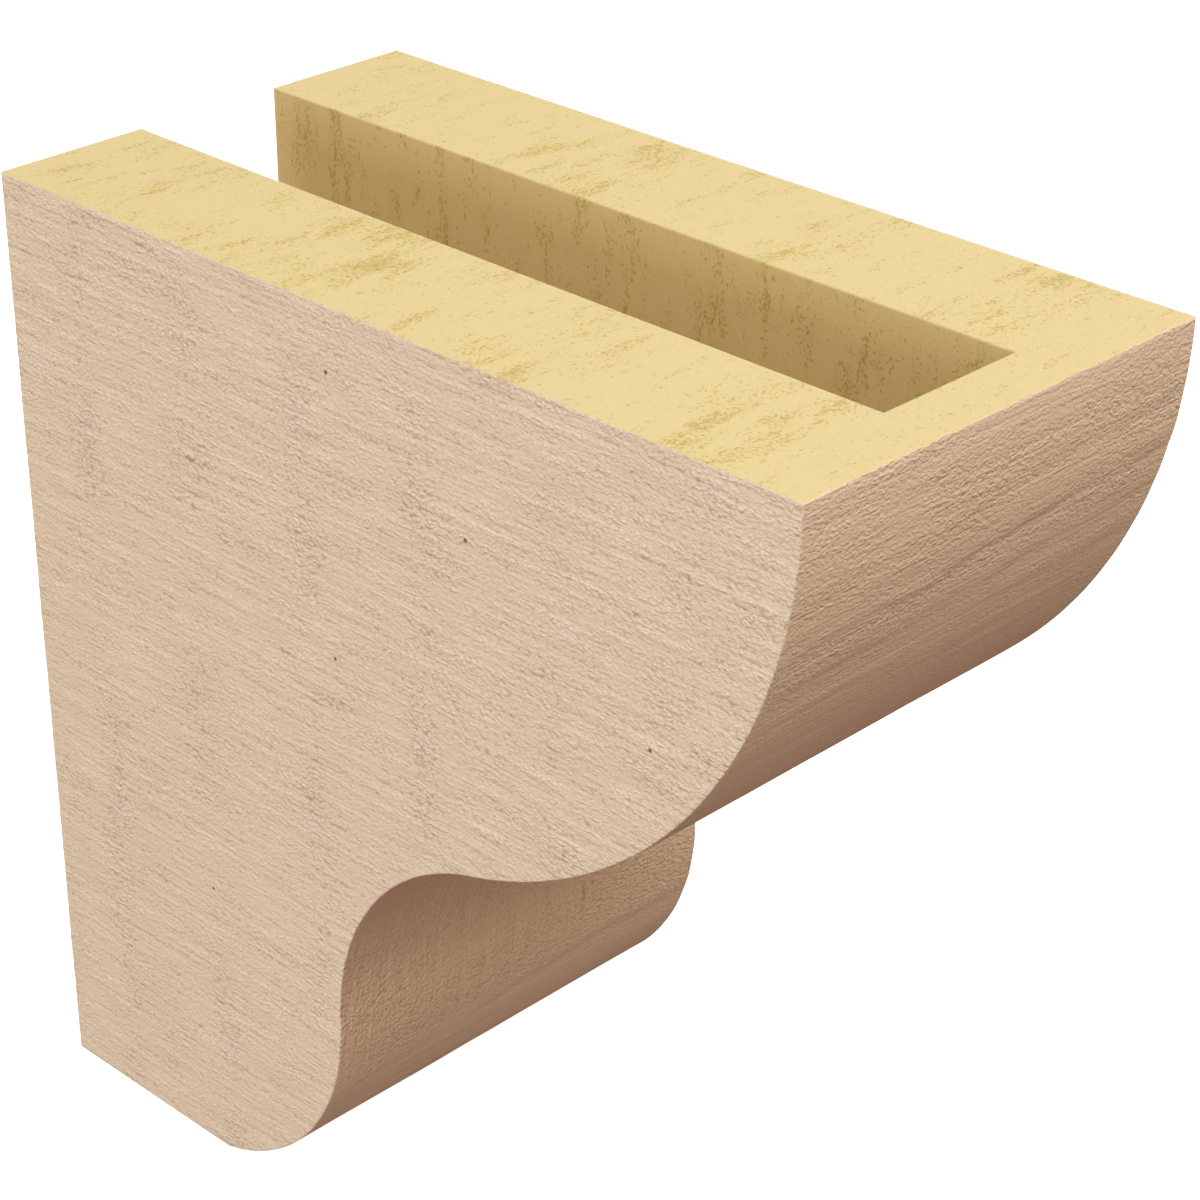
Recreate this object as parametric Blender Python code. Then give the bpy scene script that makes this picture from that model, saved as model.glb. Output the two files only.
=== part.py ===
"""A wall corbel in the shape of a plain wooden bracket, moulded in one piece of polyurethane foam.

Its side view is a double curve: a long ovolo, a cove and a short ovolo, over a narrow flat foot.
A hollow, open at the top and at the back, follows that curve inside, one front wall behind it.

Frame, in metres: the back lies on the wall plane y = 0 and the front faces -Y, the width runs along X
and +Z is up. The origin is the middle of the bar that closes the back of the hollow at the bottom.
"""

import math

import bmesh
import bpy

INCH = 0.0254

# Overall size
WIDTH = 6.0 * INCH
DEPTH = 12.0 * INCH
HEIGHT = 12.0 * INCH

# Walls left by the hollow: one third of the width on each side, and a thinner one along the curve
SIDE_WALL = WIDTH / 3
FRONT_WALL = 0.75 * INCH

# The curve of the side view, from the top down: how far each stretch drops and how far it steps back
UPPER_OVOLO = (HEIGHT / 2, DEPTH * 3 / 8)
COVE = (HEIGHT / 4, DEPTH * 3 / 16)
LOWER_OVOLO = (HEIGHT / 4, DEPTH * 3 / 16)

# Straight pieces that stand for each round stretch
UPPER_STEPS = 32
COVE_STEPS = 24
LOWER_STEPS = 24

# The origin's height above the underside, and the cutter's reach past the faces that it opens
ORIGIN_HEIGHT = FRONT_WALL / 2
OVERRUN = 0.5 * INCH
WELD_DISTANCE = 0.00001

FOAM_COLOR = (0.66, 0.50, 0.36, 1.0)
FOAM_ROUGHNESS = 0.8


def remove_everything():
    """Empties the file of the objects that Blender starts with."""
    for thing in list(bpy.data.objects):
        bpy.data.objects.remove(thing)


def new_collection(name):
    group = bpy.data.collections.new(name)
    bpy.context.scene.collection.children.link(group)
    return group


def foam_material():
    """Primed moulded foam, matt and tan."""
    material = bpy.data.materials.new("primed_foam")
    material.use_nodes = True
    shader = material.node_tree.nodes["Principled BSDF"]
    shader.inputs["Base Color"].default_value = FOAM_COLOR
    shader.inputs["Roughness"].default_value = FOAM_ROUGHNESS
    shader.inputs["Metallic"].default_value = 0.0
    return material


def radius_of(drop, step_back):
    """Radius of an arc that is upright at one end, drops by drop and moves sideways by step_back."""
    return (drop**2 + step_back**2) / (2 * step_back)


def arc_points(centre, radius, first, last, steps):
    """Points on an arc, both ends included. Angles are in radians, 0 pointing away from the wall."""
    points = []
    for i in range(steps + 1):
        angle = first + (last - first) * i / steps
        points.append((centre[0] + radius * math.cos(angle), centre[1] + radius * math.sin(angle)))
    return points


def side_outline(inset, overrun):
    """The side view as (distance from the wall, height above the underside) points.

    An inset moves the curve and the underside inwards, and an overrun moves the top and the back out.
    """
    upper_radius = radius_of(*UPPER_OVOLO)
    cove_radius = radius_of(*COVE)
    lower_radius = radius_of(*LOWER_OVOLO)
    upper_centre = (DEPTH - upper_radius, HEIGHT)
    waist_height = HEIGHT - UPPER_OVOLO[0] - COVE[0]
    waist_depth = DEPTH - UPPER_OVOLO[1] - COVE[1]
    cove_centre = (waist_depth + cove_radius, waist_height)
    lower_centre = (waist_depth - lower_radius, waist_height)

    upper_sweep = math.asin(UPPER_OVOLO[0] / upper_radius)
    cove_sweep = math.asin(COVE[0] / cove_radius)
    lower_sweep = math.asin((waist_height - inset) / (lower_radius - inset))

    upper = arc_points(upper_centre, upper_radius - inset, 0.0, -upper_sweep, UPPER_STEPS)
    cove = arc_points(cove_centre, cove_radius + inset, math.pi - cove_sweep, math.pi, COVE_STEPS)
    lower = arc_points(lower_centre, lower_radius - inset, 0.0, -lower_sweep, LOWER_STEPS)

    back_top = [(-overrun, HEIGHT + overrun)]
    front_top = [(DEPTH - inset, HEIGHT + overrun)] if overrun else []
    back_bottom = [(-overrun, inset)]
    return back_top + front_top + upper + cove[1:] + lower[1:] + back_bottom


def slab(name, outline, width, group):
    """A closed mesh: the side view, set upright with the wall at y = 0 and as thick as the width."""
    curve = bpy.data.curves.new(name, "CURVE")
    curve.dimensions = "2D"
    curve.fill_mode = "BOTH"
    curve.extrude = width / 2
    spline = curve.splines.new("POLY")
    spline.points.add(len(outline) - 1)
    for point, (depth, height) in zip(spline.points, outline):
        point.co = (depth, height, 0.0, 1.0)
    spline.use_cyclic_u = True

    drawn = bpy.data.objects.new(name + "_outline", curve)
    drawn.rotation_euler = (math.pi / 2, 0.0, -math.pi / 2)
    drawn.location = (0.0, 0.0, -ORIGIN_HEIGHT)
    group.objects.link(drawn)
    bpy.context.view_layer.update()

    depsgraph = bpy.context.evaluated_depsgraph_get()
    mesh = bpy.data.meshes.new_from_object(drawn.evaluated_get(depsgraph))
    solid = bpy.data.objects.new(name, mesh)
    solid.matrix_world = drawn.matrix_world.copy()
    group.objects.link(solid)
    bpy.data.objects.remove(drawn)
    weld(mesh)
    return solid


def weld(mesh):
    """Joins the caps of an extruded outline to its sides."""
    edited = bmesh.new()
    edited.from_mesh(mesh)
    bmesh.ops.remove_doubles(edited, verts=edited.verts, dist=WELD_DISTANCE)
    edited.to_mesh(mesh)
    edited.free()


def make_hollow_cutter(group):
    """The space inside, run out past the top and the back."""
    outline = side_outline(FRONT_WALL, OVERRUN)
    cutter = slab("hollow_cutter", outline, WIDTH - 2 * SIDE_WALL, group)
    cutter.hide_render = True
    cutter.display_type = "WIRE"
    return cutter


def make_corbel(group, cutter):
    """The whole bracket, one solid, with its hollow cut by a modifier."""
    corbel = slab("corbel", side_outline(0.0, 0.0), WIDTH, group)
    corbel.data.materials.clear()
    corbel.data.materials.append(foam_material())
    corbel.data.shade_smooth()
    corbel.data.set_sharp_from_angle(angle=math.radians(10.0))
    cut = corbel.modifiers.new("hollow", "BOOLEAN")
    cut.operation = "DIFFERENCE"
    cut.solver = "EXACT"
    cut.object = cutter
    return corbel


remove_everything()
cutter = make_hollow_cutter(new_collection("cutters"))
make_corbel(new_collection("corbel"), cutter)
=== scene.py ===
"""Looks of the corbel: a mesh with sawn relief over the solid, primed tan outside and bare foam inside."""

import math
from collections import namedtuple

import bpy
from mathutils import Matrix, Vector, noise


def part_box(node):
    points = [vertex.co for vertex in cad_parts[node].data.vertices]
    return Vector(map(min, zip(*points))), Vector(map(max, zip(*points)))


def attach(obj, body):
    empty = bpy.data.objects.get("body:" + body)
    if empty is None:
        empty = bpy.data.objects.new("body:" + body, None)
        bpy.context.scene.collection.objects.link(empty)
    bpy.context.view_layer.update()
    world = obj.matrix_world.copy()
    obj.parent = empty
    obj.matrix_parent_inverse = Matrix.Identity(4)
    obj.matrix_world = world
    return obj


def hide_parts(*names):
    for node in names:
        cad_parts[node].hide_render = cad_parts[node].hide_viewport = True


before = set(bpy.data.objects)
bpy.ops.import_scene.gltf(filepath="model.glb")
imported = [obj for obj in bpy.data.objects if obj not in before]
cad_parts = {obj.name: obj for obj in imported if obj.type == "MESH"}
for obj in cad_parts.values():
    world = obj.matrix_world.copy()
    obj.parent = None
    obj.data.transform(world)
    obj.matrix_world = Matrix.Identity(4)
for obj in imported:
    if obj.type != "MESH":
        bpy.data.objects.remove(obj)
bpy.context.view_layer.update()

# Lengths are in metres
METRE = 1.0
MM = 0.001
INCH = 0.0254

# The solid, from the frame, and the shares of it that the hollow and the front wall take
LOW, HIGH = (Vector(corner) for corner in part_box("corbel"))
WIDTH = HIGH.x - LOW.x
DEPTH = HIGH.y - LOW.y
HEIGHT = HIGH.z - LOW.z
HALF = WIDTH / 2
HOLLOW_HALF = WIDTH / 6
FRONT_WALL = DEPTH / 16

# The side view's three arcs, from the top down: how far each drops and how far it steps back
UPPER_OVOLO = (HEIGHT / 2, DEPTH * 3 / 8)
COVE = (HEIGHT / 4, DEPTH * 3 / 16)
LOWER_OVOLO = (HEIGHT / 4, DEPTH * 3 / 16)

# The mesh: the gap between rows across the grain, between points along it, and on the plainer faces
FINE_STEP = 0.8 * MM
GRAIN_STEP = 4.0 * MM
PLAIN_STEP = 5.0 * MM

# The least gap between even points and the bands beside an edge, in steps
LEAST_GAP = 0.3

# How far outer edges are rounded, and where the two narrow bands of faces beside each edge end
EDGE_RADIUS = 0.4 * MM
EDGE_BANDS = (EDGE_RADIUS, 2.2 * EDGE_RADIUS)

# How far above its lowest row the curve has no other row
END_GAP = 1.2 * EDGE_RADIUS

# Points that agree to this many decimals of a metre are one point of the mesh
WELD_DIGITS = 7

# Each material's number in the mesh
SIDE_SKIN, FRONT_SKIN, FOAM = 0, 1, 2

# A point of a face: its place, the face's normal, its grain, and how far along its row it lies. The grain
# holds the distance along it, the distance across it, and a share: how far the front's streaks are turned
# to run down the curve, or 1 in the hollow, where the foam gets painted warm bounce light
Sample = namedtuple("Sample", "place normal grain run")


def radius_of(drop, step_back):
    """Radius of an arc that is upright at one end, drops by drop and moves sideways by step_back."""
    return (drop**2 + step_back**2) / (2 * step_back)


def levels(start, end, step):
    """Places from start to end: two narrow bands beside each end and even steps between."""
    sign = 1 if end > start else -1
    first = start + sign * EDGE_BANDS[-1]
    last = end - sign * EDGE_BANDS[-1]
    count = max(1, round(abs(last - first) / step))
    middle = [first + (last - first) * i / count for i in range(count + 1)]
    return [start, start + sign * EDGE_BANDS[0], *middle, end - sign * EDGE_BANDS[0], end]


def curve_samples(inset, step):
    """Points down the front curve, moved in by inset: (depth, height, normal, distance run)."""
    upper = radius_of(*UPPER_OVOLO)
    cove = radius_of(*COVE)
    lower = radius_of(*LOWER_OVOLO)
    waist = HEIGHT - UPPER_OVOLO[0] - COVE[0]
    waist_depth = DEPTH - UPPER_OVOLO[1] - COVE[1]
    upper_sweep = math.asin(UPPER_OVOLO[0] / upper)
    cove_sweep = math.asin(COVE[0] / cove)
    lower_sweep = math.asin((waist - inset) / (lower - inset))
    # Each arc: centre, radius, first angle, last angle, and which way its normal points from the centre
    arcs = (
        (DEPTH - upper, HEIGHT, upper - inset, 0.0, -upper_sweep, 1),
        (waist_depth + cove, waist, cove + inset, math.pi - cove_sweep, math.pi, -1),
        (waist_depth - lower, waist, lower - inset, 0.0, -lower_sweep, 1),
    )
    samples = []
    run = 0.0
    for number, (centre, middle, radius, first, last, out) in enumerate(arcs):
        length = radius * abs(last - first)
        count = round(length / step)
        places = [length * i / count for i in range(count + 1)]
        if number == 0:
            places = [0.0, *EDGE_BANDS] + [p for p in places if p > EDGE_BANDS[-1] + LEAST_GAP * step]
        else:
            places = places[1:]
        for place in places:
            angle = first + (last - first) * place / length
            across, up = math.cos(angle), math.sin(angle)
            normal = (out * across, out * up)
            samples.append((centre + radius * across, middle + radius * up, normal, run + place))
        run += length
    return samples


def clear_of_end(samples, gap):
    """The samples without those that lie nearly as low as the last one, where rows would crowd."""
    bottom = samples[-1][1]
    return [s for s in samples[:-1] if s[1] > bottom + gap] + [samples[-1]]


# The front's curve, the hollow's curve behind it, and how far from the wall each one ends
OUTER = clear_of_end(curve_samples(0.0, FINE_STEP), END_GAP)
INNER = curve_samples(FRONT_WALL, PLAIN_STEP)
FOOT = OUTER[-1][0]
FLOOR_DEPTH = INNER[-1][0]

# Where the lines of neighbouring faces meet, so that they share their points
ACROSS = levels(-HALF, HALF, GRAIN_STEP)
ACROSS_LEFT = levels(-HALF, -HOLLOW_HALF, PLAIN_STEP)
ACROSS_HOLLOW = levels(-HOLLOW_HALF, HOLLOW_HALF, PLAIN_STEP)
ACROSS_RIGHT = levels(HOLLOW_HALF, HALF, PLAIN_STEP)
ACROSS_BACK = ACROSS_LEFT + ACROSS_HOLLOW[1:] + ACROSS_RIGHT[1:]
TOP_STRIP = levels(0.0, DEPTH - FRONT_WALL, GRAIN_STEP)
TOP_BRIDGE = levels(DEPTH - FRONT_WALL, DEPTH, GRAIN_STEP)
UNDERSIDE = levels(0.0, FOOT, GRAIN_STEP)
HOLLOW_FLOOR = levels(0.0, FLOOR_DEPTH, PLAIN_STEP)
BACK_BAR = levels(0.0, FRONT_WALL, PLAIN_STEP)
BACK_UPRIGHT = levels(0.0, HEIGHT, PLAIN_STEP)


def put(x, depth, height, normal, grain, run):
    """A sample at a depth from the wall and a height above the underside."""
    return Sample((x, HIGH.y - depth, LOW.z + height), normal, grain, run)


def side_rows(sign):
    """Level rows from the back edge to the curve, one for each point of the curve."""
    normal = (sign, 0.0, 0.0)
    rows = []
    for number, (depth, height, (out, _), _) in enumerate(OUTER):
        if number == 0:
            places = TOP_STRIP + TOP_BRIDGE[1:]
        elif number == len(OUTER) - 1:
            places = UNDERSIDE
        else:
            places = row_places(depth, EDGE_BANDS[0] / out, EDGE_BANDS[1] / out)
        rows.append([put(sign * HALF, d, height, normal, (d, height, 0.0), d) for d in places])
    return rows


def row_places(depth, near, far):
    """Even places from the back edge, then the two bands beside the curve."""
    places = [0.0, *EDGE_BANDS]
    count = int((depth - far - EDGE_BANDS[-1]) / GRAIN_STEP - LEAST_GAP)
    places += [EDGE_BANDS[-1] + GRAIN_STEP * (i + 1) for i in range(count)]
    return places + [depth - far, depth - near, depth]


def arc_length(drop, step_back):
    """Length of an arc that is upright at one end, drops by drop and moves sideways by step_back."""
    radius = radius_of(drop, step_back)
    return radius * math.asin(drop / radius)


# Where the cove starts along the curve, how far below it the streaks turn back, and how slowly they turn
COVE_START = arc_length(*UPPER_OVOLO)
CROSS_PAST_COVE = 28.0 * MM
CROSS_END = COVE_START + arc_length(*COVE) + CROSS_PAST_COVE
CROSS_BLEND = 10.0 * MM


def cross_share(run):
    """How far the streaks run down the curve and not across it: fully in the cove and just below."""
    rise = (run - COVE_START + CROSS_BLEND) / (2 * CROSS_BLEND)
    fall = (CROSS_END + CROSS_BLEND - run) / (2 * CROSS_BLEND)
    return max(0.0, min(1.0, rise, fall))


def front_rows():
    """Rows across the width, down the curve from the top edge to the foot."""
    rows = []
    for depth, height, (out, up), run in OUTER:
        normal = (0.0, -out, up)
        share = cross_share(run)
        rows.append([put(x, depth, height, normal, (x, run, share), x) for x in ACROSS])
    return rows


def underside_rows():
    """Rows across the width, from the foot's front edge back to the wall."""
    start = OUTER[-1][3] + FOOT
    rows = []
    for depth in reversed(UNDERSIDE):
        places = ACROSS_BACK if depth == 0.0 else ACROSS
        rows.append([put(x, depth, 0.0, (0.0, 0.0, -1.0), (x, start - depth, 0.0), x) for x in places])
    return rows


def top_rows():
    """Rows across the width: the bar in front of the hollow, then the strip on each side of it."""
    up = (0.0, 0.0, 1.0)

    def row(depth, places):
        return [put(x, depth, HEIGHT, up, (x, depth, 0.0), x) for x in places]

    bridge = [row(depth, ACROSS if depth == DEPTH else ACROSS_BACK) for depth in reversed(TOP_BRIDGE)]
    left = [row(depth, ACROSS_LEFT) for depth in reversed(TOP_STRIP)]
    right = [row(depth, ACROSS_RIGHT) for depth in reversed(TOP_STRIP)]
    return bridge, left, right


def back_columns():
    """Upright columns: the two long uprights, and the bar that joins them at the bottom."""

    def column(x, heights):
        return [put(x, 0.0, h, (0.0, 1.0, 0.0), (h, x, 0.0), h) for h in heights]

    outer_heights = [sample[1] for sample in reversed(OUTER)]
    inner_heights = BACK_BAR + [sample[1] for sample in reversed(INNER[:-1])]
    uprights = []
    for sign, across in ((-1, ACROSS_LEFT), (1, ACROSS_RIGHT[::-1])):
        columns = [column(across[0], outer_heights)]
        columns += [column(x, BACK_UPRIGHT) for x in across[1:-1]]
        columns.append(column(across[-1], inner_heights))
        uprights.append(columns)
    bar = [column(x, BACK_BAR) for x in ACROSS_HOLLOW]
    return uprights[0], uprights[1], bar


def hollow_wall_rows(sign):
    """Level rows on one side of the hollow, from the back edge to the curve behind the front wall."""
    normal = (-sign, 0.0, 0.0)
    rows = []
    for number, (depth, height, _, _) in enumerate(INNER):
        if number == 0:
            places = TOP_STRIP
        elif number == len(INNER) - 1:
            places = HOLLOW_FLOOR
        else:
            places = levels(0.0, depth, PLAIN_STEP)
        grain = [(height, d + HOLLOW_HALF * sign, 1.0) for d in places]
        rows.append([put(sign * HOLLOW_HALF, d, height, normal, g, d) for d, g in zip(places, grain)])
    return rows


def hollow_front_rows():
    """Rows across the hollow, down the inner face of the front wall."""
    rows = []
    for depth, height, (out, up), run in INNER:
        normal = (0.0, out, -up)
        rows.append([put(x, depth, height, normal, (run, x, 1.0), x) for x in ACROSS_HOLLOW])
    return rows


def hollow_floor_rows():
    """Rows across the hollow's floor, from the front wall back to the wall."""
    up = (0.0, 0.0, 1.0)
    rows = []
    for depth in reversed(HOLLOW_FLOOR):
        rows.append([put(x, depth, FRONT_WALL, up, (depth, x, 1.0), x) for x in ACROSS_HOLLOW])
    return rows


# A layer of noise: its strength, its length along the grain, its width across it, and what it adds to the
# seed. With a length or width of a metre it hardly changes that way
Layer = namedtuple("Layer", "strength length width seed")


def wave(layer, along, across, seed=0.0):
    """Smooth noise about zero, at most as strong as the layer says, stretched along the grain."""
    place = (along / layer.length, across / layer.width, seed + layer.seed)
    return layer.strength * noise.noise(Vector(place))


def between(value, table):
    """The second number of a table's pairs, read between the two firsts that value lies between."""
    for (low, start), (high, end) in zip(table, table[1:]):
        if value < high:
            return start + (end - start) * max(0.0, value - low) / (high - low)
    return table[-1][1]


# The least roughness of the skin anywhere, and the roughness of a side between its bands
LEAST_ROUGH = 0.05
SIDE_ROUGH = 0.32
SIDE_PATCHES = Layer(0.35, 45.0 * MM, 26.0 * MM, 8.4)

# The saw's chatter: upright bands on the sides, evenly apart from the back to the front. Also how much
# rougher the skin is in them, how narrow they are, how they wander, and how they break off
CHATTER_START = 31.0 * MM
CHATTER_PITCH = 48.0 * MM
CHATTER_ROUGH = 0.80
CHATTER_SHARPNESS = 3
CHATTER_WANDER = Layer(6.0 * MM, METRE, 55.0 * MM, 2.2)
CHATTER_MEAN = 0.45
CHATTER_BREAKS = Layer(1.2, 60.0 * MM, 28.0 * MM, 4.6)

# How much rougher a side is at the front, and how far from the wall that starts
NOSE_ROUGH = 0.25
NOSE_START = 200.0 * MM

# How rough the skin is down the front, by distance run from the top edge
FRONT_ROUGHNESS = (
    (0.0, 0.8),
    (36.0 * MM, 0.9),
    (50.0 * MM, 0.7),
    (62.0 * MM, 0.6),
    (90.0 * MM, 0.4),
    (150.0 * MM, 0.3),
    (230.0 * MM, 0.3),
    (290.0 * MM, 0.5),
    (330.0 * MM, 0.6),
    (345.0 * MM, 0.3),
)

# How much stronger the finest relief is from the cove down to the last ledge, by distance run
FRONT_EXTRA = (
    (0.0, 0.0),
    (215.0 * MM, 0.0),
    (250.0 * MM, 0.5),
    (285.0 * MM, 0.9),
    (328.0 * MM, 0.9),
    (345.0 * MM, 0.2),
)

# A torn ledge runs across the front: where it crosses the near and the far side edge, its width and depth
LEDGE_NEAR = 48.0 * MM
LEDGE_FAR = 38.0 * MM
LEDGE_WIDTH = 1.7 * MM
LEDGE_DEPTH = 0.85 * MM

# It and the shallower ledges, one of them near the foot: how far down from it, and the share of its depth
LEDGES = ((0.0, 1.0), (13.0 * MM, 0.45), (-16.0 * MM, 0.35), (27.0 * MM, 0.30), (292.0 * MM, 0.60))

# How the ledges bend, how their depth changes along them, over how many widths the step fades below them,
# and how deep the groove along them is, as a share
LEDGE_BENDS = (Layer(2.5 * MM, 30.0 * MM, METRE, 5.5), Layer(1.2 * MM, 9.0 * MM, METRE, 7.7))
LEDGE_LEAST = 0.15
LEDGE_MEAN = 0.65
LEDGE_CHANGE = Layer(0.9, 22.0 * MM, 30.0 * MM, 1.5)
LEDGE_FADE = 12
GROOVE_SHARE = 0.3

# The patches of the front: how rough they are on average, and how that changes
FRONT_MEAN = 0.95
FRONT_PATCHES = Layer(0.9, 40.0 * MM, 14.0 * MM, 8.4)

# How far below the ledge the skin is most torn, how much rougher it is there, and how that breaks off
TORN_REACH = 4.0 * MM
TORN_EXTRA = 0.7
TORN_MEAN = 0.5
TORN_BREAKS = Layer(1.0, 18.0 * MM, METRE, 2.5)

# The layers of the relief: soft swells, saw marks, saw marks that run down the curve, torn spots, and the
# long swells of the front
SWELLS = Layer(0.12 * MM, 90.0 * MM, 30.0 * MM, 0.0)
SAW_MARKS = Layer(0.08 * MM, 34.0 * MM, 3.4 * MM, 7.3)
TURNED_MARKS = Layer(0.08 * MM, 34.0 * MM, 3.4 * MM, 3.1)
TORN_SPOTS = Layer(0.12 * MM, 9.0 * MM, 2.6 * MM, 9.9)
FRONT_SWELLS = Layer(0.22 * MM, 80.0 * MM, 8.0 * MM, 4.4)

# The share of the front's relief at the side edges, and the distance inwards that adds one whole share
EDGE_SHARE = 0.25
EDGE_CALM = 10.0 * MM


def side_roughness(depth, height, seed):
    """How rough a side is: about even, with the saw's chatter in broken upright bands."""
    wander = wave(CHATTER_WANDER, 0.0, height, seed)
    turn = 2 * math.pi * (depth - CHATTER_START + wander) / CHATTER_PITCH
    broken = CHATTER_MEAN + wave(CHATTER_BREAKS, depth, height, seed)
    band = max(0.0, math.cos(turn)) ** CHATTER_SHARPNESS * max(0.0, broken)
    patch = wave(SIDE_PATCHES, depth, height, seed)
    nose = NOSE_ROUGH * max(0.0, (depth - NOSE_START) / (DEPTH - NOSE_START))
    return max(LEAST_ROUGH, SIDE_ROUGH + patch + CHATTER_ROUGH * band + nose)


def ledge_line(x):
    """How far down the front the torn ledge lies, without its waves."""
    return LEDGE_NEAR + (LEDGE_FAR - LEDGE_NEAR) * (x + HALF) / WIDTH


def front_roughness(x, run, seed):
    """How rough the front is: coarse and patchy above the ledge, torn below it, then finer and finer."""
    line = ledge_line(x)
    patch = FRONT_MEAN + wave(FRONT_PATCHES, x, run, seed)
    below = (run - line) / TORN_REACH
    torn = TORN_EXTRA * math.exp(-((below - 1.0) ** 2)) * (TORN_MEAN + wave(TORN_BREAKS, x, 0.0))
    return max(LEAST_ROUGH, between(run - line + LEDGE_NEAR, FRONT_ROUGHNESS) * patch + torn)


def ledge(x, run, offset, share):
    """The step down at a torn ledge that lies offset below the main one, and the groove along it."""
    line = ledge_line(x) + offset + sum(wave(bend, x, offset) for bend in LEDGE_BENDS)
    past = (run - line) / LEDGE_WIDTH
    step = (0.5 + 0.5 * math.tanh(past)) * math.exp(-max(0.0, past) / LEDGE_FADE)
    groove = GROOVE_SHARE * math.exp(-past * past)
    strength = max(LEDGE_LEAST, LEDGE_MEAN + wave(LEDGE_CHANGE, x, offset))
    return -LEDGE_DEPTH * share * strength * (step + groove)


def skin_relief(grain, seed, rough):
    """Height of the sawn skin above the solid: soft swells, saw marks along the grain, torn spots."""
    along, across, share = grain
    swell = wave(SWELLS, along, across, seed)
    straight = wave(SAW_MARKS, along, across, seed)
    turned = wave(TURNED_MARKS, across, along, seed)
    torn = rough * wave(TORN_SPOTS, along, across, seed)
    return swell + (1 - share) * straight + share * turned + torn


def side_finish(grain, seed):
    """Relief and roughness of a side, by its distance from the wall and its height."""
    rough = side_roughness(grain[0], grain[1], seed)
    return skin_relief(grain, seed, rough), rough


def front_finish(grain, seed):
    """Relief and roughness of the curved front and the underside, calmer beside the side edges."""
    x, run, _ = grain
    rough = front_roughness(x, run, seed)
    calm = min(1.0, EDGE_SHARE + (HALF - abs(x)) / EDGE_CALM)
    relief = skin_relief(grain, seed, rough) + wave(FRONT_SWELLS, x, run, seed)
    for offset, share in LEDGES:
        relief += ledge(x, run, offset, share)
    return calm * relief, rough + between(run, FRONT_EXTRA)


# Where flecks gather on the top: distance from the wall, spread and strength of each band
FLECK_BANDS = (
    (12.0 * MM, 8.0 * MM, 0.30),
    (36.0 * MM, 16.0 * MM, 0.50),
    (76.0 * MM, 8.0 * MM, 0.25),
    (98.0 * MM, 8.0 * MM, 0.60),
    (124.0 * MM, 14.0 * MM, 1.00),
    (160.0 * MM, 9.0 * MM, 0.30),
    (203.0 * MM, 15.0 * MM, 0.60),
    (262.0 * MM, 9.0 * MM, 0.80),
    (276.0 * MM, 6.0 * MM, 0.60),
)

# The far half of the top has fewer flecks
FAR_SHARE = 0.75

# How the flecks' bands change along them: on the top, and in the hollow and on the back
TOP_MEAN = 0.75
TOP_BREAKS = Layer(0.9, 28.0 * MM, 9.0 * MM, 5.0)
HOLLOW_MEAN = 0.20
HOLLOW_BREAKS = Layer(0.7, 70.0 * MM, 12.0 * MM, 5.0)

FOAM_SWELLS = Layer(0.05 * MM, 40.0 * MM, 18.0 * MM, 0.0)


def top_finish(grain, seed):
    """The top: almost flat, its flecks in bands across it."""
    x, depth, _ = grain
    amount = 0.0
    for centre, spread, strength in FLECK_BANDS:
        amount += strength * math.exp(-(((depth - centre) / spread) ** 2))
    uneven = TOP_MEAN + wave(TOP_BREAKS, x, depth, seed)
    share = FAR_SHARE if x > 0.0 else 1.0
    return foam_relief(grain, seed), max(0.0, amount * uneven * share)


def hollow_finish(grain, seed):
    """The hollow and the back: almost flat, their flecks in broken bands along the grain."""
    along, across, _ = grain
    band = HOLLOW_MEAN + wave(HOLLOW_BREAKS, along, across, seed)
    return foam_relief(grain, seed), max(0.0, band)


def foam_relief(grain, seed):
    """Height of the bare foam: almost flat."""
    along, across, _ = grain
    return wave(FOAM_SWELLS, along, across, seed)


# Between these faces the edges aren't rounded
HOLLOW_FACES = {"hollow_left", "hollow_right", "hollow_front", "hollow_floor"}

# Edges that turn by more than this are shaded sharp
SHARP_ANGLE = math.radians(60.0)


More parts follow.
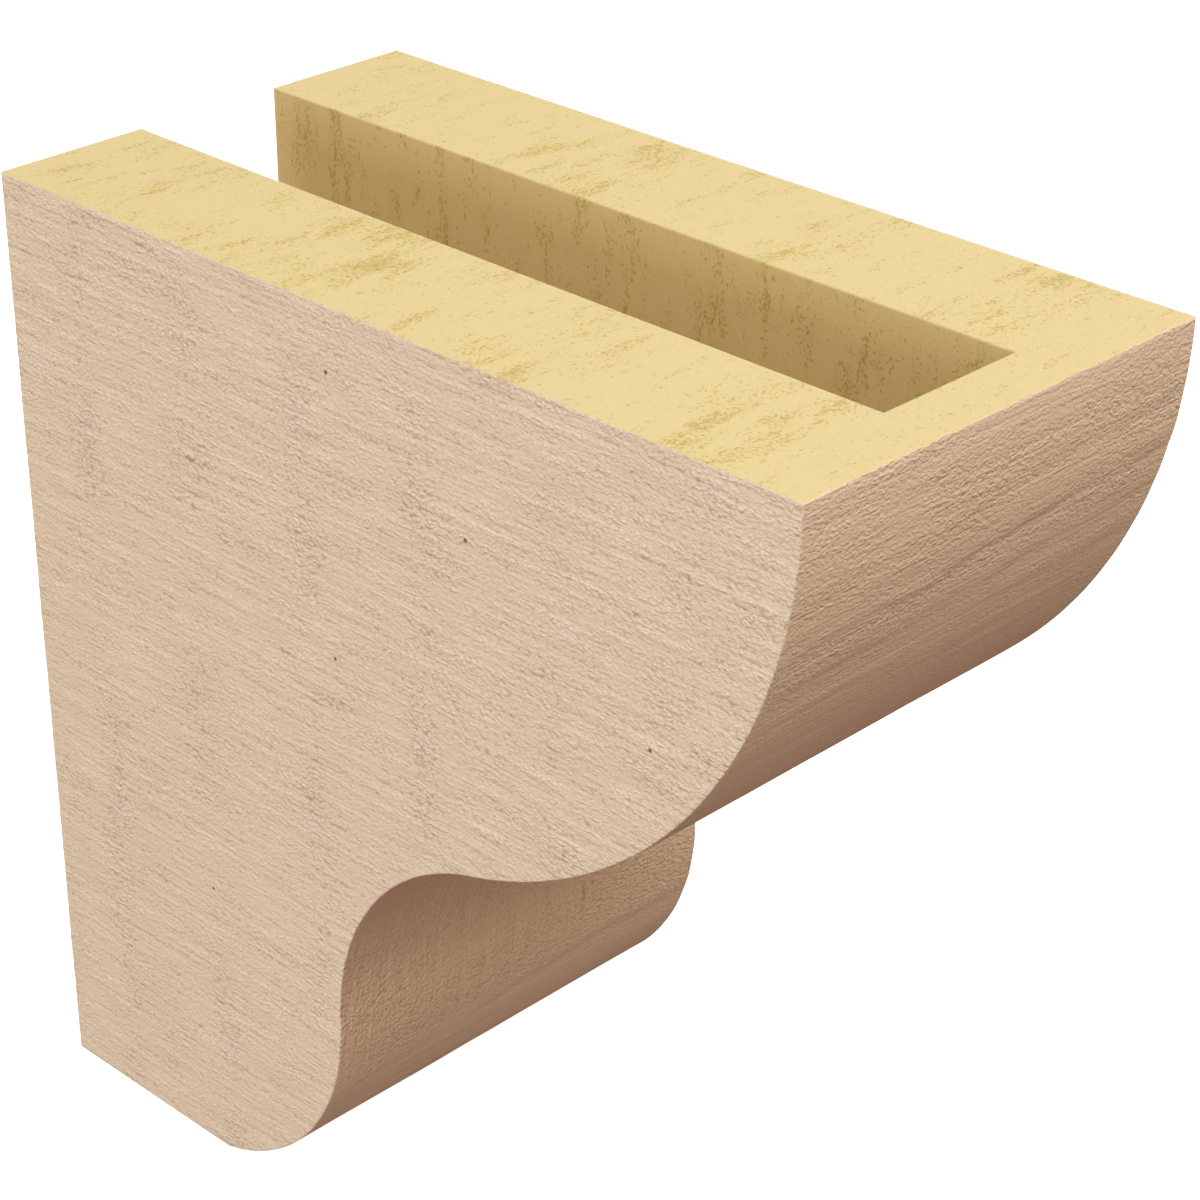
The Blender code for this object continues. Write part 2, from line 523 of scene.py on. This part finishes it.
class Mesh:
    """Points that faces share, how far each face pushes them, and the triangles with their grain."""

    def __init__(self):
        self.index = {}
        self.places = []
        self.pushes = []
        self.triangles = []
        self.slots = []
        self.grains = []
        self.amounts = []

    def point(self, sample, face, finish, seed):
        """The sample's point, made once, with this face's push on it; also the sample and its amount."""
        key = tuple(round(c, WELD_DIGITS) for c in sample.place)
        number = self.index.get(key)
        if number is None:
            number = self.index[key] = len(self.places)
            self.places.append(sample.place)
            self.pushes.append({})
        height, amount = finish(sample.grain, seed)
        self.pushes[number][face] = (sample.normal, height)
        return number, sample, amount

    def add(self, face, lines, slot, finish, seed):
        """Fills the space between neighbouring lines of samples with triangles."""
        points = [[self.point(sample, face, finish, seed) for sample in line] for line in lines]
        for line, following in zip(points, points[1:]):
            self.zip_lines(line, following, slot, seed)

    def zip_lines(self, line, following, slot, seed):
        """Triangles between two lines, always stepping along the one that is behind."""
        i = j = 0
        while i < len(line) - 1 or j < len(following) - 1:
            step_first = j == len(following) - 1 or (
                i < len(line) - 1 and line[i + 1][1].run <= following[j + 1][1].run
            )
            if step_first:
                self.triangle(line[i], line[i + 1], following[j], slot, seed)
                i += 1
            else:
                self.triangle(line[i], following[j + 1], following[j], slot, seed)
                j += 1

    def triangle(self, a, b, c, slot, seed):
        """One triangle, turned so that it faces out."""
        if len({a[0], b[0], c[0]}) < 3:
            return
        p, q, r = (Vector(corner[1].place) for corner in (a, b, c))
        if (q - p).cross(r - p).dot(Vector(a[1].normal)) < 0:
            b, c = c, b
        self.triangles.append((a[0], b[0], c[0]))
        self.slots.append(slot)
        for _, sample, amount in (a, b, c):
            along, across, share = sample.grain
            self.grains.extend((along, across + seed, share))
            self.amounts.append(amount)

    def moved(self):
        """Every point pushed out by its faces' relief, and pulled in where an outer edge is rounded."""
        result = []
        for place, pushes in zip(self.places, self.pushes):
            spot = Vector(place)
            total = Vector((0.0, 0.0, 0.0))
            for normal, height in pushes.values():
                spot += Vector(normal) * height
                total += Vector(normal)
            total.normalize()
            least = min(total.dot(Vector(normal)) for normal, _ in pushes.values())
            if not HOLLOW_FACES.issuperset(pushes):
                spot -= total * EDGE_RADIUS * (1 / least - 1)
            result.append(spot)
        return result


def build_corbel():
    """The whole corbel as one closed mesh that stands for the solid.

    Each face has its own seed and so its own noise, but the underside's goes on from the front's.
    """
    mesh = Mesh()
    mesh.add("left", side_rows(-1), SIDE_SKIN, side_finish, seed=0.0)
    mesh.add("right", side_rows(1), SIDE_SKIN, side_finish, seed=3.0)
    mesh.add("front", front_rows(), FRONT_SKIN, front_finish, seed=6.0)
    mesh.add("underside", underside_rows(), FRONT_SKIN, front_finish, seed=6.0)
    for part in top_rows():
        mesh.add("top", part, FOAM, top_finish, seed=9.0)
    for part in back_columns():
        mesh.add("back", part, FOAM, hollow_finish, seed=12.0)
    mesh.add("hollow_left", hollow_wall_rows(-1), FOAM, hollow_finish, seed=15.0)
    mesh.add("hollow_right", hollow_wall_rows(1), FOAM, hollow_finish, seed=18.0)
    mesh.add("hollow_front", hollow_front_rows(), FOAM, hollow_finish, seed=21.0)
    mesh.add("hollow_floor", hollow_floor_rows(), FOAM, hollow_finish, seed=24.0)

    data = bpy.data.meshes.new("corbel_body")
    data.from_pydata(mesh.moved(), [], mesh.triangles)
    data.polygons.foreach_set("material_index", mesh.slots)
    grain = data.attributes.new("grain", "FLOAT_VECTOR", "CORNER")
    grain.data.foreach_set("vector", mesh.grains)
    amount = data.attributes.new("amount", "FLOAT", "CORNER")
    amount.data.foreach_set("value", mesh.amounts)
    data.shade_smooth()
    data.set_sharp_from_angle(angle=SHARP_ANGLE)
    corbel = bpy.data.objects.new("corbel_body", data)
    bpy.context.scene.collection.objects.link(corbel)
    return corbel


corbel = build_corbel()

# The numbers of a Mix node's sockets for colours, whose names its other sockets share
MIX_FIRST, MIX_SECOND, MIX_RESULT = 6, 7, 2

# Height of a crumb's top, which makes crumbs 0.5 high on average
CRUMB_TOP = 0.92

# The share of an air hole's radius in which its painted shade is darkest
PINHOLE_CORE = 0.6


class Shader:
    """A material's node tree, with short calls for the nodes that the finishes use."""

    def __init__(self, name, roughness):
        self.material = bpy.data.materials.new(name)
        self.material.use_nodes = True
        self.tree = self.material.node_tree
        self.surface = self.tree.nodes["Principled BSDF"]
        self.surface.inputs["Roughness"].default_value = roughness
        grain = self.node("ShaderNodeAttribute")
        grain.attribute_name = "grain"
        parts = self.node("ShaderNodeSeparateXYZ", Vector=grain.outputs["Vector"])
        self.along = parts.outputs["X"]
        self.across = parts.outputs["Y"]
        self.share = parts.outputs["Z"]
        amount = self.node("ShaderNodeAttribute")
        amount.attribute_name = "amount"
        self.amount = amount.outputs["Fac"]

    def node(self, kind, **inputs):
        """A node with its inputs set by name, each to a value or to another node's output."""
        made = self.tree.nodes.new(kind)
        for name, value in inputs.items():
            self.set(made.inputs[name.replace("_", " ")], value)
        return made

    def set(self, socket, value):
        """Links the socket to another node's output, or sets it to a value."""
        if isinstance(value, bpy.types.NodeSocket):
            self.tree.links.new(value, socket)
        else:
            socket.default_value = value

    def math(self, operation, *values):
        """The result of a sum on numbers or on other nodes' outputs."""
        made = self.node("ShaderNodeMath")
        made.operation = operation
        for socket, value in zip(made.inputs, values):
            self.set(socket, value)
        return made.outputs[0]

    def spot(self, length, width, swapped=False):
        """The place on the surface, in units of length along the grain and width across it."""
        first, second = (self.across, self.along) if swapped else (self.along, self.across)
        place = self.node(
            "ShaderNodeCombineXYZ",
            X=self.math("MULTIPLY", first, 1 / length),
            Y=self.math("MULTIPLY", second, 1 / width),
        )
        return place.outputs[0]

    def noise(self, length, width, detail, rough, swapped=False):
        """Noise from 0 to 1, stretched along the grain."""
        made = self.node(
            "ShaderNodeTexNoise",
            Vector=self.spot(length, width, swapped),
            Scale=1.0,
            Detail=detail,
            Roughness=rough,
        )
        return made.outputs["Fac"]

    def turned_noise(self, length, width, detail, rough):
        """The same noise, but across the grain where the streaks run down the curve."""
        straight = self.noise(length, width, detail, rough)
        swapped = self.noise(length, width, detail, rough, swapped=True)
        return self.blend(self.share, straight, swapped)

    def crumbs(self, length, width):
        """Lumps of about that length and width, lower towards the edge of each, and 0.5 on average."""
        made = self.node("ShaderNodeTexVoronoi", Vector=self.spot(length, width), Scale=1.0)
        made.voronoi_dimensions = "2D"
        return self.math("SUBTRACT", CRUMB_TOP, made.outputs["Distance"])

    def blend(self, share, first, second):
        """A number between first and second, by share."""
        made = self.node("ShaderNodeMix", Factor=share, A=first, B=second)
        return made.outputs["Result"]

    def smooth(self, value, low, high):
        """0 below low, 1 above high and a smooth step between."""
        made = self.node(
            "ShaderNodeMapRange", Value=value, From_Min=low, From_Max=high, To_Min=0.0, To_Max=1.0
        )
        made.interpolation_type = "SMOOTHSTEP"
        return made.outputs["Result"]

    def raised(self, value, amount, share, limits):
        """A value, raised by a share of an amount, as a smooth step from 0 to 1 between two limits."""
        return self.smooth(self.math("MULTIPLY_ADD", amount, share, value), *limits)

    def mix(self, share, first, second, blend="MIX"):
        """A colour between first and second, by share, or first multiplied by second."""
        made = self.node("ShaderNodeMix")
        made.data_type = "RGBA"
        made.blend_type = blend
        self.set(made.inputs["Factor"], share)
        self.set(made.inputs[MIX_FIRST], first)
        self.set(made.inputs[MIX_SECOND], second)
        return made.outputs[MIX_RESULT]

    def layer(self, value, strength):
        """Noise from 0 to 1, moved to lie about zero and made as strong as said."""
        return self.math("MULTIPLY", self.math("SUBTRACT", value, 0.5), strength)

    def with_pinhole_shade(self, color):
        """The colour, with a dark dot of painted shade at each air hole."""
        for along, across, radius in PINHOLES:
            away = self.node("ShaderNodeVectorMath", Vector=self.spot(1.0, 1.0))
            away.operation = "DISTANCE"
            away.inputs[1].default_value = (along, across, 0.0)
            dot = self.smooth(away.outputs["Value"], radius, radius * PINHOLE_CORE)
            color = self.mix(dot, color, PINHOLE_PAINTED_SHADE)
        return color

    def finish(self, color, height, depth):
        """Sets the colour, and the fine relief, in which a height of 1 stands for that depth."""
        bump = self.node("ShaderNodeBump", Height=height, Strength=1.0, Distance=depth)
        self.set(self.surface.inputs["Base Color"], color)
        self.set(self.surface.inputs["Normal"], bump.outputs["Normal"])
        return self.material


# The primer: its tone, its painted highlight on high spots and painted shade in low spots, its painted warm
# shade in the cove, and how matt it is
SKIN_COLOR = (0.682, 0.525, 0.377, 1.0)
SKIN_PAINTED_HIGHLIGHT = (0.782, 0.633, 0.496, 1.0)
SKIN_PAINTED_SHADE = (0.520, 0.352, 0.212, 1.0)
COVE_PAINTED_SHADE = (1.0, 0.965, 0.935, 1.0)
SKIN_MATT = 0.85

# The heights at which the painted highlight and the painted shade of the relief start and are full
HIGHLIGHT_HEIGHTS = (0.02, 0.42)
SHADE_HEIGHTS = (-0.02, -0.60)

# Depth of the skin's finest relief, which the shader gives
RELIEF = 0.7 * MM

# Noise of a material: its length along the grain, its width across it, its detail and its roughness
Pattern = namedtuple("Pattern", "length width detail rough")

# The skin's clouds, fine saw marks, lumps and pits, and the length and width of its crumbs
CLOUDS = Pattern(15.0 * MM, 7.0 * MM, 2.0, 0.6)
FINE_MARKS = Pattern(26.0 * MM, 1.2 * MM, 2.0, 0.5)
LUMPS = Pattern(2.6 * MM, 1.8 * MM, 2.0, 0.5)
PITS = Pattern(0.85 * MM, 0.75 * MM, 1.0, 0.5)
CRUMBS = (1.8 * MM, 1.35 * MM)

# The surface is torn where the clouds, raised by this share of the roughness, pass these limits
TORN_SHARE = 0.35
TORN_LIMITS = (0.50, 0.95)

# A skin: its longest saw marks, and the strengths of these, of the fine ones, of lumps and of pits, in
# parts of RELIEF. Lumps and pits have one strength everywhere and one more where the surface is torn
Skin = namedtuple("Skin", "marks broad fine lumpy pitted")
SIDE = Skin(Pattern(30.0 * MM, 2.6 * MM, 4.0, 0.6), 1.20, 0.15, (0.62, 0.85), (0.48, 0.42))
FRONT = Skin(Pattern(55.0 * MM, 2.6 * MM, 4.0, 0.6), 0.55, 0.25, (0.22, 0.58), (0.34, 0.25))

# Air holes in the near side: distance from the wall, height above the underside, and radius
PINHOLES = (
    (0.1394, 0.2857, 0.0008),
    (0.1917, 0.2551, 0.0008),
    (0.1382, 0.1995, 0.0007),
    (0.2575, 0.2201, 0.0007),
    (0.0772, 0.0970, 0.0006),
)
# The dark of each air hole: painted shade, since the holes aren't cut into the mesh
PINHOLE_PAINTED_SHADE = (0.170, 0.100, 0.060, 1.0)

# The foam: its tone, its tone with painted warm bounce light in the hollow, the tones of its clouds and
# flecks, and how matt it is
FOAM_COLOR = (0.574, 0.448, 0.225, 1.0)
HOLLOW_PAINTED_BOUNCE = (0.622, 0.458, 0.210, 1.0)
FOAM_TINT = (0.555, 0.420, 0.150, 1.0)
FOAM_SPECK = (0.385, 0.270, 0.048, 1.0)
FOAM_MATT = 0.8

# Depth of a fleck
FLECK_DEPTH = 0.12 * MM

# The foam's clouds, flecks and blots. The clouds are raised by a share of the mesh's amount, and the flecks
# and blots by a share of the clouds. Each shows between its limits, with its own strength
FOAM_CLOUDS = Pattern(20.0 * MM, 6.5 * MM, 3.0, 0.65)
CLOUD_SHARE = 0.28
CLOUD_LIMITS = (0.47, 0.88)
CLOUD_STRENGTH = 0.40
FLECKS = Pattern(1.3 * MM, 0.9 * MM, 2.0, 0.5)
FLECK_SHARE = 0.24
FLECK_LIMITS = (0.62, 0.77)
FLECK_STRENGTH = 0.62
BLOTS = Pattern(3.4 * MM, 2.6 * MM, 2.0, 0.5)
BLOT_SHARE = 0.16
BLOT_LIMITS = (0.64, 0.76)
BLOT_STRENGTH = 0.40


def primed(s, skin, pattern):
    """Matt tan primer over a sawn face: saw marks along the grain, and lumps and pits in torn patches.

    Each layer is about zero. Gives the colour, with painted highlight and shade, and the height, in parts
    of RELIEF.
    """
    torn = s.raised(pattern(*CLOUDS), s.amount, TORN_SHARE, TORN_LIMITS)
    lumps = s.blend(0.5, pattern(*LUMPS), s.crumbs(*CRUMBS))
    pits = pattern(*PITS)
    height = s.layer(pattern(*skin.marks), skin.broad)
    height = s.math("ADD", height, s.layer(pattern(*FINE_MARKS), skin.fine))
    for layer, (everywhere, more) in ((lumps, skin.lumpy), (pits, skin.pitted)):
        strength = s.math("MULTIPLY_ADD", torn, more, everywhere)
        height = s.math("ADD", height, s.layer(layer, strength))
    height = s.math("MULTIPLY", height, s.math("MAXIMUM", s.amount, 1.0))
    # Lighter on high spots and darker on low ones: painted highlight and painted shade of the relief
    light = s.smooth(height, *HIGHLIGHT_HEIGHTS)
    painted_shade = s.smooth(height, *SHADE_HEIGHTS)
    return s.mix(painted_shade, s.mix(light, SKIN_COLOR, SKIN_PAINTED_HIGHLIGHT), SKIN_PAINTED_SHADE), height


def side_skin():
    """The primed sides, with painted shade for the air holes of the near one."""
    s = Shader("side_skin", SKIN_MATT)
    color, height = primed(s, SIDE, s.noise)
    return s.finish(s.with_pinhole_shade(color), height, RELIEF)


def front_skin():
    """The primed front and underside, with painted warm shade in the cove and just below, where the streaks
    run down the curve.
    """
    s = Shader("front_skin", SKIN_MATT)
    color, height = primed(s, FRONT, s.turned_noise)
    # Painted warm shade in the cove and just below it
    return s.finish(s.mix(s.share, color, COVE_PAINTED_SHADE, "MULTIPLY"), height, RELIEF)


def bare_foam():
    """Cream foam with olive flecks, in clusters that run with the grain, with painted warm bounce light in
    the hollow.
    """
    s = Shader("bare_foam", FOAM_MATT)
    cloud = s.raised(s.noise(*FOAM_CLOUDS), s.amount, CLOUD_SHARE, CLOUD_LIMITS)
    fleck = s.raised(s.noise(*FLECKS), cloud, FLECK_SHARE, FLECK_LIMITS)
    blot = s.raised(s.noise(*BLOTS), cloud, BLOT_SHARE, BLOT_LIMITS)
    # In the hollow the foam is warmer: painted warm bounce light
    color = s.mix(s.share, FOAM_COLOR, HOLLOW_PAINTED_BOUNCE)
    color = s.mix(s.math("MULTIPLY", cloud, CLOUD_STRENGTH), color, FOAM_TINT)
    color = s.mix(s.math("MULTIPLY", blot, BLOT_STRENGTH), color, FOAM_SPECK)
    color = s.mix(s.math("MULTIPLY", fleck, FLECK_STRENGTH), color, FOAM_SPECK)
    return s.finish(color, s.math("MULTIPLY", fleck, -1.0), FLECK_DEPTH)


# In the order of the materials' numbers
corbel.data.materials.append(side_skin())
corbel.data.materials.append(front_skin())
corbel.data.materials.append(bare_foam())
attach(corbel, "root")
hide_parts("corbel")


# The photograph's camera, worked out from the corners of the object
FRAME_PIXELS = 1200
FOCAL_PIXELS = 3241.3
SENSOR = 36.0
CAMERA_PLACE = Vector((-22.780, -28.938, 24.457)) * INCH
CAMERA_AZIMUTH = math.radians(44.572)
CAMERA_ELEVATION = math.radians(27.992)

MIDDLE = (LOW + HIGH) / 2


def make_camera():
    """The scene's camera, at the photograph's place and angle and without shift."""
    data = bpy.data.cameras.new("camera")
    data.sensor_width = SENSOR
    data.lens = SENSOR * FOCAL_PIXELS / FRAME_PIXELS
    camera = bpy.data.objects.new("camera", data)
    flat = math.cos(CAMERA_ELEVATION)
    look = Vector(
        (flat * math.cos(CAMERA_AZIMUTH), flat * math.sin(CAMERA_AZIMUTH), -math.sin(CAMERA_ELEVATION))
    )
    camera.location = CAMERA_PLACE
    camera.rotation_euler = look.to_track_quat("-Z", "Y").to_euler()
    bpy.context.scene.collection.objects.link(camera)
    bpy.context.scene.camera = camera


# The stage: its tone, how matt it is and the colour of its glow, then the glow's strength and the size of
# the floor and of the backdrop
STAGE_COLOR = (0.93, 0.93, 0.93, 1.0)
STAGE_MATT = 0.9
GLOW_COLOR = (1.0, 1.0, 1.0, 1.0)
FLOOR_GLOW = 0.8
FLOOR_SIZE = 12.0
FLOOR_GAP = 0.5 * MM
BACKDROP_GLOW = 1.0
BACKDROP_RADIUS = 9.0
BACKDROP_SEGMENTS = 48
BACKDROP_RINGS = 24


def make_stage(name, glow):
    """Turns the newest object into pale scenery. It sends no light to the corbel, as in the photograph."""
    thing = bpy.context.object
    thing.name = name
    material = bpy.data.materials.new("pale_" + name)
    material.use_nodes = True
    shader = material.node_tree.nodes["Principled BSDF"]
    shader.inputs["Base Color"].default_value = STAGE_COLOR
    shader.inputs["Roughness"].default_value = STAGE_MATT
    shader.inputs["Emission Color"].default_value = GLOW_COLOR
    shader.inputs["Emission Strength"].default_value = glow
    material.cycles.emission_sampling = "NONE"
    thing.data.materials.append(material)
    thing.visible_diffuse = False
    thing.visible_glossy = False
    thing.visible_shadow = False


def make_floor_and_backdrop():
    """A floor just under the corbel, and a ball round everything."""
    bpy.ops.mesh.primitive_plane_add(size=FLOOR_SIZE, location=(0.0, 0.0, LOW.z - FLOOR_GAP))
    make_stage("floor", FLOOR_GLOW)
    bpy.ops.mesh.primitive_uv_sphere_add(
        radius=BACKDROP_RADIUS, segments=BACKDROP_SEGMENTS, ring_count=BACKDROP_RINGS
    )
    make_stage("backdrop", BACKDROP_GLOW)


# Soft boxes: name, bearing (0 is -X, 90 is -Y) and elevation in degrees, and watts of red, green and blue
LIGHTS = (
    ("left", 0.0, 0.0, (36.7, 43.3, 48.7)),
    ("key", 30.0, 50.0, (44.1, 45.5, 47.9)),
    ("front_right", 130.0, 50.0, (60.0, 61.0, 60.0)),
    ("right_back", 215.0, 0.0, (36.0, 40.0, 42.0)),
    ("top", 0.0, 90.0, (4.1, 10.4, 16.7)),
)
LIGHT_DISTANCE = 3.0
LIGHT_SIZE = 2.1

# The world's two colours, and how far above and below the horizon they mix
SKY = (0.559, 0.475, 0.310, 1.0)
GROUND = (0.275, 0.160, 0.140, 1.0)
HORIZON = 0.15


def make_light(name, bearing, elevation, watts):
    """A square soft box at that bearing and elevation, turned to the corbel's middle."""
    turn, rise = math.radians(bearing), math.radians(elevation)
    flat = math.cos(rise)
    direction = Vector((-math.cos(turn) * flat, -math.sin(turn) * flat, math.sin(rise)))
    offset = direction * LIGHT_DISTANCE
    data = bpy.data.lights.new(name, "AREA")
    data.shape = "SQUARE"
    data.size = LIGHT_SIZE
    data.energy = max(watts)
    data.color = [w / max(watts) for w in watts]
    light = bpy.data.objects.new(name, data)
    light.location = MIDDLE + offset
    light.rotation_euler = (-offset).to_track_quat("-Z", "Y").to_euler()
    light.visible_camera = False
    bpy.context.scene.collection.objects.link(light)


def make_world():
    """Even light from all round, one colour above the horizon and another below it."""
    world = bpy.data.worlds.new("studio")
    bpy.context.scene.world = world
    world.use_nodes = True
    tree = world.node_tree
    coordinates = tree.nodes.new("ShaderNodeTexCoord")
    parts = tree.nodes.new("ShaderNodeSeparateXYZ")
    rise = tree.nodes.new("ShaderNodeMapRange")
    colors = tree.nodes.new("ShaderNodeMix")
    colors.name = "sky_and_ground"
    colors.data_type = "RGBA"
    rise.inputs["From Min"].default_value = -HORIZON
    rise.inputs["From Max"].default_value = HORIZON
    colors.inputs[MIX_FIRST].default_value = GROUND
    colors.inputs[MIX_SECOND].default_value = SKY
    tree.links.new(coordinates.outputs["Generated"], parts.inputs["Vector"])
    tree.links.new(parts.outputs["Z"], rise.inputs["Value"])
    tree.links.new(rise.outputs["Result"], colors.inputs["Factor"])
    tree.links.new(colors.outputs[MIX_RESULT], tree.nodes["Background"].inputs["Color"])


make_camera()
make_floor_and_backdrop()
make_world()
for light in LIGHTS:
    make_light(*light)
bpy.context.scene.view_settings.view_transform = "Standard"
